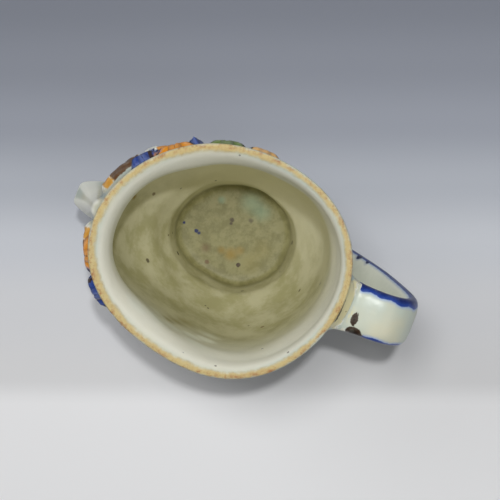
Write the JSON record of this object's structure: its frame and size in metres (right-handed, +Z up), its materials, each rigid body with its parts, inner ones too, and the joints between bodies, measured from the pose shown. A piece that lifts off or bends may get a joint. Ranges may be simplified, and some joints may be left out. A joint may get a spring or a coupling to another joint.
{
  "type": "satyr mug",
  "caption": "Drinking mug in the form of a bearded satyr's head, with a vine wreath under the rim, a spreading foot and a strap handle at the back.",
  "frame": {"origin": "middle of the flat underside of the foot", "axes": "+Z up, towards the rim; the mask looks along -Y and the handle reaches along +Y"},
  "size_m": [0.0883, 0.1409, 0.122],
  "materials": {
    "glazed_earthenware": "glossy bluish-white lead glaze over cream earthenware, painted in cobalt blue, ochre, green and brown"
  },
  "bodies": {
    "root": {"satyr_mug": "glazed_earthenware"}
  },
  "joints": []
}
